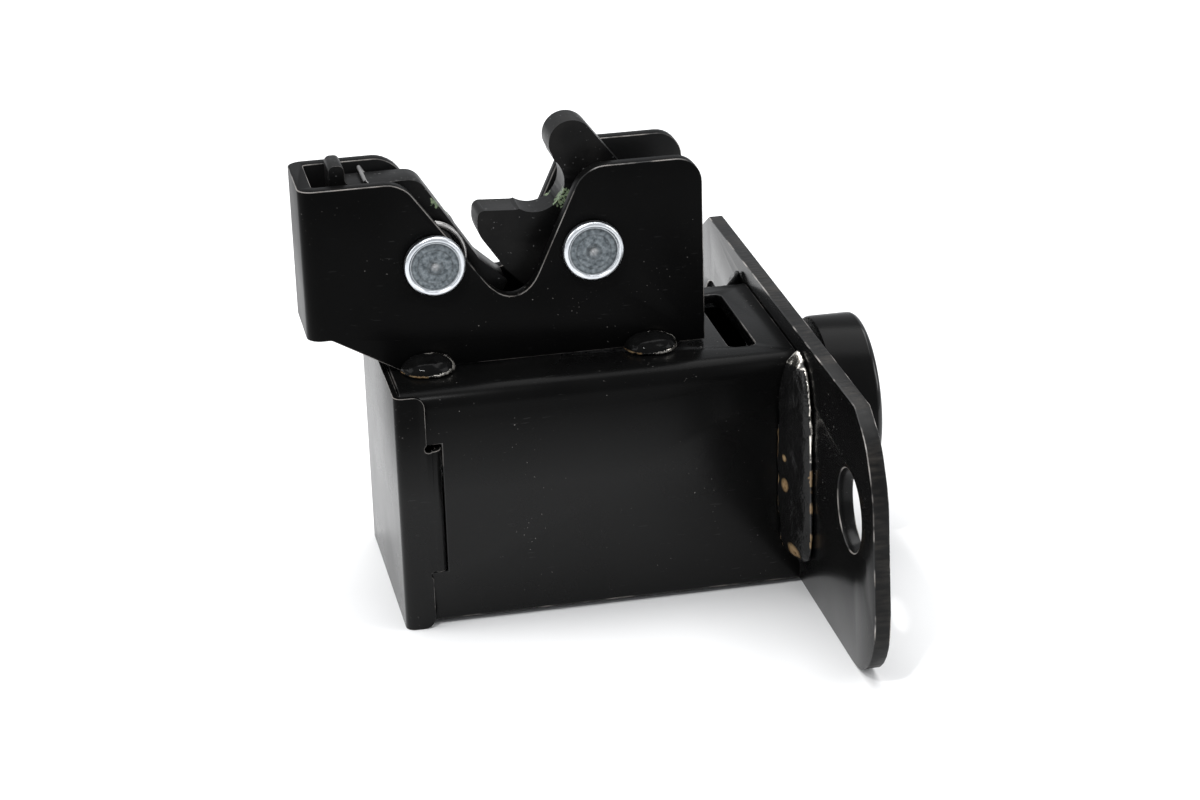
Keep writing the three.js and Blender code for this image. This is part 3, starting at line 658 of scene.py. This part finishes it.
def turned(name, profile, middle, axis, steps=72):
    """A solid turned from a profile of (radius, along) points in millimetres about an axis."""
    lay = {"x": lambda r, w: at(w, middle[0], middle[1] + r),
           "y": lambda r, w: at(middle[0], w, middle[1] + r)}[axis]
    bpy.ops.mesh.primitive_plane_add(size=MM, location=(0, 0, 0))
    piece = bpy.context.object
    piece.name = name
    edit(piece)
    bpy.ops.mesh.select_all(action="SELECT")
    bpy.ops.mesh.merge(type="CENTER")
    here = lay(*profile[0])
    bpy.ops.transform.translate(value=here)
    for point in profile[1:]:
        there = lay(*point)
        bpy.ops.mesh.extrude_region_move(TRANSFORM_OT_translate={"value": there - here})
        here = there
    bpy.ops.mesh.select_all(action="SELECT")
    bpy.ops.mesh.spin(steps=steps, angle=2 * math.pi, center=lay(0, 0),
                      axis={"x": (1, 0, 0), "y": (0, 1, 0)}[axis])
    bpy.ops.mesh.select_all(action="SELECT")
    bpy.ops.mesh.remove_doubles(threshold=0.005 * MM)
    bpy.ops.mesh.normals_make_consistent(inside=False)
    done()
    return piece


def smooth(piece, finish, angle=35):
    piece.data.materials.append(finish.material)
    bpy.context.view_layer.objects.active = piece
    piece.select_set(True)
    bpy.ops.object.shade_smooth_by_angle(angle=math.radians(angle))
    bpy.ops.object.select_all(action="DESELECT")


def zinc(name, roughness=0.22, struck=()):
    """Bright zinc, a little blue, cloudy where it was handled. Round each place in struck the ring
    tool has left a dark speckled disc, its groove darkened as painted shade, with a brighter
    dimple in its middle."""
    plating = Finish(name, Metallic=1.0)
    cloud = plating.noise(300, 4)
    base = plating.mix(cloud, (0.55, 0.58, 0.62, 1), (0.8, 0.82, 0.84, 1))
    rough = roughness + 0.2 * cloud
    for centre in struck:
        disc = plating.near(centre, DISC * MM, 0.93)
        speckle = plating.above(plating.noise(1300, 4), 0.3, 0.72)
        tone = plating.mix(speckle, (0.07, 0.082, 0.09, 1), (0.25, 0.28, 0.3, 1))
        # The outer ring darkens the head's groove: painted shade.
        for wide, thin in RINGS:
            ring = plating.near(centre, wide * MM, 0.95) - plating.near(centre, (wide - thin) * MM, 0.95)
            tone = plating.mix(ring * 0.35, tone, grey(0.04))
        tone = plating.mix(plating.near(centre, 1.1 * MM, 0.3) * 0.8, tone, grey(0.5))
        base = plating.mix(disc, base, tone)
        rough = rough + 0.18 * disc
    plating.feed("Base Color", base)
    plating.feed("Roughness", rough)
    plating.bumps(plating.noise(1100, 3), 0.02 * MM)
    return plating


near_seat, far_seat = near_face - GAP, far_face + GAP
for name, pivot in (("fork", FORK_PIVOT), ("pawl", PAWL_PIVOT)):
    rivet = turned(name + "_headed_rivet", [(r, near_seat - h) for r, h in reversed(HEAD)]
                   + [(SHANK, near_seat), (SHANK, far_seat)] + [(r, far_seat + h) for r, h in HEAD],
                   pivot, "y")
    heads = [at(pivot[0], seat, pivot[1]) for seat in (near_seat - 1.5, far_seat + 1.5)]
    smooth(rivet, zinc(name + "_rivet_zinc", struck=heads), 28)
    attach(rivet, "frame")
    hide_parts(name + "_rivet")

plain_steel = Finish("oiled_steel", Metallic=1.0)
plain_steel.feed("Base Color", plain_steel.mix(plain_steel.noise(220, 4), grey(0.2), grey(0.42, 0.03)))
plain_steel.feed("Roughness", 0.26 + 0.25 * plain_steel.noise(500, 3))
plain_steel.bumps(plain_steel.noise(900, 3), 0.02 * MM)
for name, pivot in (("fork", FORK_PIVOT), ("pawl", PAWL_PIVOT)):
    sleeve = round_bar(name + "_sleeve", pivot, BUSH, "y", near_inside + GAP, far_inside - GAP)
    carve(sleeve, [round_bar("bore", pivot, RIVET_HOLE, "y", 5, 40)])
    deburr(sleeve, 0.25, [plain_steel])
    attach(sleeve, "frame")
    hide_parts(name + "_bush")


# ---- Fork ----------------------------------------------------------------------------------------
# The catch's rotor, blanked from 7.6 mm plate. The striker drops into its round throat and turns
# it, until the flat end of its lower arm passes the pawl's nose.
CATCH = (19.9, 27.5)                  # the fork's and the pawl's near and far faces
BORE = BUSH + GAP                     # radius of the hole that turns on the bush
THROAT = (32, 84, 6)                  # middle and radius
ARM_TIP = (39.7, 91.8, 4.6)


def blackened(name, spots):
    """Plate steel blackened in oil, rubbed on its faces, with grease where it slides."""
    steel = Finish(name, Specular_IOR_Level=0.1)
    rubbed = steel.above(steel.noise(110, 4), 0.45, 0.75)
    base = steel.mix(rubbed, grey(0.004), grey(0.014, 0.04))
    base = steel.mix(steel.above(steel.noise(1500, 1), 0.72, 0.76) * 0.4, base, grey(0.25))
    base, wet = greased(steel, base, spots)
    steel.feed("Base Color", base)
    steel.feed("Roughness", 0.36 + 0.14 * rubbed - 0.12 * wet)
    steel.feed("Metallic", 0.15 * rubbed)
    steel.bumps(steel.noise(650, 4), 0.03 * MM)
    return steel


fork = drawn("fork_blank", [
    (43.36, 94.6), (53.6, 81.2, 9), (56, 63.5, 12), (41, 56.5, 12), (30.6, 61.2, 6), (25.5, 66.4, 3),
    (19.8, 74.9, 5), (20.3, 79.35, 1.4), (28.2, 78.85, 2), (33, 80.5), (36.6, 85.2), (37.35, 86.3),
    (36, 88.6), (35.15, 90.9), ARM_TIP[:2]], "y", *CATCH)
carve(fork, [round_bar("arm_tip", ARM_TIP[:2], ARM_TIP[2], "y", *CATCH, 96)], "UNION")
carve(fork, [round_bar("throat", THROAT[:2], THROAT[2], "y", 15, 33, 96),
             round_bar("bore", FORK_PIVOT, BORE, "y", 15, 33)])
deburr(fork, 0.38, [blackened("fork_black", [((37.4, 20, 80.4), 4), ((36, 27, 79), 1.6)]),
                    worn_edge("fork_edge", bare=0.13, start=0.5)], segments=3, angle=36)
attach(fork, "fork")
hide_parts("fork")


# ---- Pawl ----------------------------------------------------------------------------------------
# The catch's second lever, from the same plate. Its nose holds the fork, its upright tab is for a
# finger or a cable, and its tail hangs in front of the pusher arm.
pawl = drawn("pawl_blank", [
    (-9.1, 91.35, 1.2), (-6, 91.35, 1.2), (-6, 87.2, 1.3), (8.6, 87.2, 3.6), (20.1, 69.3, 1.5),
    (25.7, 64.2, 0.8), (24.6, 62.2, 0.8), (17, 60.6, 3), (12.5, 57.2, 2), (12.5, 51.5, 1),
    (8.5, 51.5, 1), (5.2, 64, 5), (-9.1, 79.5, 3)], "y", *CATCH)
carve(pawl, [round_bar("bore", PAWL_PIVOT, BORE, "y", 15, 33)])
deburr(pawl, 0.38, [blackened("pawl_black", [((12.2, 20, 82.2), 2.6), ((14, 27, 78), 4)]),
                    worn_edge("pawl_edge", bare=0.16, start=0.45)], segments=3, angle=36)
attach(pawl, "pawl")
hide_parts("pawl")


# ---- Springs -------------------------------------------------------------------------------------
# Hard-drawn wire. The pawl's has a coil on each side joined by a bridge over its back, the fork's
# one coil, and the button's is a plain compression coil round the rod.
MIDDLE = sum(CATCH) / 2               # halfway between the fork's and the pawl's faces
SPRING_ENDS = (44.0, 73.4)            # left and right ends of the return spring
RETURN_TURNS = 7
RETURN_WIRE = 0.7                     # radius

spring_wire = Finish("spring_wire", Metallic=1.0)
spring_wire.feed("Base Color", spring_wire.mix(spring_wire.noise(400, 3), grey(0.22), grey(0.5, 0.03)))
spring_wire.feed("Roughness", 0.22 + 0.2 * spring_wire.noise(900, 2))


def wire(name, points, radius):
    """A round wire through places in millimetres, with closed ends."""
    bpy.ops.curve.primitive_nurbs_path_add(location=(0, 0, 0))
    piece = bpy.context.object
    piece.name = name
    line = piece.data
    line.splines.clear()
    run = line.splines.new("POLY")
    run.points.add(len(points) - 1)
    for knot, place in zip(run.points, points):
        knot.co = (*at(*place), 1)
    line.dimensions = "3D"
    line.bevel_depth = radius * MM
    line.bevel_resolution = 3
    line.use_fill_caps = True
    bpy.ops.object.convert(target="MESH")
    piece = bpy.context.object
    smooth(piece, spring_wire, 50)
    settle(piece)
    return piece


def coil(turns, radius, start, pitch, per_turn=36):
    """Places round a coil: across, up and along, in millimetres."""
    count = round(turns * per_turn)
    angles = [start + 2 * math.pi * k / per_turn for k in range(count + 1)]
    return [(radius * math.cos(a), radius * math.sin(a), pitch * k / per_turn)
            for k, a in enumerate(angles)]


def pawl_spring_side(outward):
    """One side's coil and the straight leg that leaves it; outward is -1 for the near side."""
    inner = MIDDLE + outward * 4.6
    turns = [(PAWL_PIVOT[0] + u, inner + outward * w, PAWL_PIVOT[1] + v)
             for u, v, w in coil(2.25, 7, 0.72 * math.pi, 0.98)]
    x, y, z = turns[-1]
    return turns + [(x - 8, y, z + 1), (x - 14, y, z + 2)]


bridge = [(-2.1, MIDDLE + side * 4.8, 88) for side in (-1, 1)]
pawl_spring = wire("pawl_double_spring", pawl_spring_side(-1)[::-1] + bridge + pawl_spring_side(1), 0.45)
fork_turns = [(FORK_PIVOT[0] + u, CATCH[1] + 0.9 + w, FORK_PIVOT[1] + v)
              for u, v, w in coil(1.75, 7.4, -math.pi / 2, 1.1)]
first, last = fork_turns[0], fork_turns[-1]
fork_spring = wire("fork_torsion_spring", [(first[0] - 12, first[1], first[2])] + fork_turns
                   + [(last[0], last[1], last[2] - 9)], 0.5)
span = SPRING_ENDS[1] - SPRING_ENDS[0]
return_coil = coil(RETURN_TURNS, 7, 0, span / RETURN_TURNS)
return_spring = wire("button_return_spring", [(SPRING_ENDS[0] + w, AXIS[0] + u, AXIS[1] + v)
                                              for u, v, w in return_coil], RETURN_WIRE)
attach(fork_spring, "frame")
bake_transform(pawl_spring)
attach(return_spring, "frame")
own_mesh(return_spring)
for spring, node in ((pawl_spring, "pawl_spring"), (fork_spring, "fork_spring"),
                     (return_spring, "return_spring")):
    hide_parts(node)


# ---- Push button ---------------------------------------------------------------------------------
# A moulded black knob on the rod's end, smooth round its rim with a shallow dish in its face.
# The rim takes the most handling, so it is polished.
BUTTON = (90.3, 100.5, 17.7)          # back, face and radius
RIM = 1.2                             # radius of the rounded rim
POLISHED = (100, 0.8, 0.4)            # where the polish is brightest, and how far off it ends and fades

back, face, radius = BUTTON
rim = [(radius - RIM + RIM * math.cos(a), face - RIM + RIM * math.sin(a))
       for a in (math.pi * k / 16 for k in range(9))]
dish = [(radius - 4, face - 0.05), (radius - 4.6, face - 0.35), (6, face - 0.75), (0, face - 0.85)]
button = turned("knob", [
    (0, back + 2.5), (6, back + 2.5), (6.4, back + 0.3), (6.8, back), (radius - 0.8, back),
    (radius - 0.2, back + 0.25), (radius, back + 0.8)] + rim + dish, AXIS, "x", 96)
moulded = Finish("moulded_black", Specular_IOR_Level=0.055)
moulded.feed("Base Color", moulded.mix(moulded.noise(120, 3), grey(0.003), grey(0.006)))
moulded.feed("Roughness", 0.2 + 0.1 * moulded.noise(90, 3))
brightest, ends, fades = POLISHED
from_rim = moulded.away(at(brightest, *AXIS), (1, 0, 0))
moulded.feed("Coat Weight", 0.8 * moulded.above(from_rim, ends * MM, fades * MM))
moulded.bumps(moulded.noise(1400, 2), 0.008 * MM)
smooth(button, moulded, 30)
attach(button, "button")
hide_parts("push_button")


# ---- Push rod and the pieces on it ---------------------------------------------------------------
# A turned, zinc-plated rod carries the knob at one end and the pusher arm at the other, held by a
# hexagon nut. A clip in its groove keeps the spring's collar and stops the rod at the bush.
ROD = 5.0                             # radius of the rod, of its groove and of its two ends
GROOVE = 4.0
ROD_END = 3.0
CHAMFER = 0.3
ARM = (18.4, 21.4)                    # left and right faces of the arm, the collar and the clip
COLLAR = (74.4, 76.4)
CLIP = (76.7, 77.7)

shoulders = (ARM[1] + GAP, back - GAP)
groove = (CLIP[0] - GAP, CLIP[1] + GAP)
rod = turned("button_rod", [
    (0, 11.9), (ROD_END - 0.6, 11.9), (ROD_END, 12.5), (ROD_END, shoulders[0]),
    (ROD - CHAMFER, shoulders[0]), (ROD, shoulders[0] + CHAMFER), (ROD, groove[0]), (GROOVE, groove[0]),
    (GROOVE, groove[1]), (ROD, groove[1]), (ROD, shoulders[1] - CHAMFER), (ROD - CHAMFER, shoulders[1]),
    (ROD_END, shoulders[1]), (ROD_END, back + 2), (0, back + 2)], AXIS, "x", 48)
bright_zinc = zinc("rod_zinc")
smooth(rod, bright_zinc)
across, up = AXIS
arm = drawn("pusher_plate", [
    (across - 3.5, 55, 1.5), (across + 3.5, 55, 1.5), (across + 3.5, up + 9, 3), (across + 8, up + 5, 3),
    (across + 8, 22, 4), (across - 8, 22, 4), (across - 8, up + 5, 3), (across - 3.5, up + 9, 3)], "x", *ARM)
carve(arm, [round_bar("bore", AXIS, ROD_END + GAP, "x", 10, 30)])
deburr(arm, 0.25, [bright_zinc])
nut = round_bar("hex_nut", AXIS, 5.7, "x", ARM[0] - 4.9, ARM[0] - GAP, 6)
carve(nut, [round_bar("bore", AXIS, ROD_END + GAP, "x", 10, 30)])
deburr(nut, 0.35, [bright_zinc])
collar = round_bar("collar_washer", AXIS, 9.6, "x", *COLLAR)
carve(collar, [round_bar("bore", AXIS, ROD + GAP, "x", 70, 80)])
deburr(collar, 0.3, [bright_zinc])
clip = round_bar("c_clip", AXIS, 7.6, "x", *CLIP)
carve(clip, [round_bar("bore", AXIS, GROOVE + GAP, "x", 70, 80), drawn("clip_mouth", [
    (across - 3.4, up - 9), (across + 3.4, up - 9), (across + 3.4, up - 1), (across - 3.4, up - 1)],
    "x", 70, 80)])
deburr(clip, 0.15, [spring_wire])
for piece, node, slot in ((rod, "push_rod", "zinc_plate"), (arm, "pusher_arm", "zinc_plate"),
                          (nut, "pusher_nut", "zinc_plate"), (collar, "spring_collar", "zinc_plate"),
                          (clip, "rod_clip", "spring_steel")):
    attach(piece, "button")
    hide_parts(node)


# ---- Guide bush and rod bracket ------------------------------------------------------------------
# The rod slides in a turned bronze bush in the plate and in a hole in a folded steel bracket,
# painted with the box, which is also what the return spring pushes against.
BRACKET = (40, 43, 12)                # left and right of its web, and its foot's underside
FOOT = 14                             # how far its foot reaches to the left of the web's right face
bore = ROD + GAP

bronze = Finish("turned_bronze", Metallic=1.0)
bronze.feed("Base Color", bronze.mix(bronze.noise(200, 3), (0.36, 0.21, 0.08, 1), (0.6, 0.4, 0.18, 1)))
bronze.feed("Roughness", 0.3 + 0.2 * bronze.noise(500, 3, (6, 1, 1)))
guide = turned("plate_bush", [
    (bore, 78.2), (bore + 0.2, 78), (10.2, 78), (10.5, 78.3), (10.5, 80.7), (10.2, 81), (8, 81), (8, 84.2),
    (7.7, 84.5), (bore + 0.2, 84.5), (bore, 84.3), (bore, 78.2)], AXIS, "x", 64)
smooth(guide, bronze)
left, right, low = BRACKET
top = BOX[2] - SHEET - GAP
bracket = drawn("rod_angle", [
    (left, top), (right, top), (right, low, 4), (right - FOOT, low), (right - FOOT, low + SHEET),
    (left, low + SHEET, 1)], "y", SHEET + GAP, BOX[1] - SHEET - GAP)
carve(bracket, [round_bar("bore", AXIS, bore, "x", 30, 50)])
deburr(bracket, 0.3, [paint, paint_edge])
for piece, node, slot in ((guide, "guide_bush", "bronze"), (bracket, "rod_bracket", "black_paint")):
    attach(piece, "frame")
    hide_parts(node)
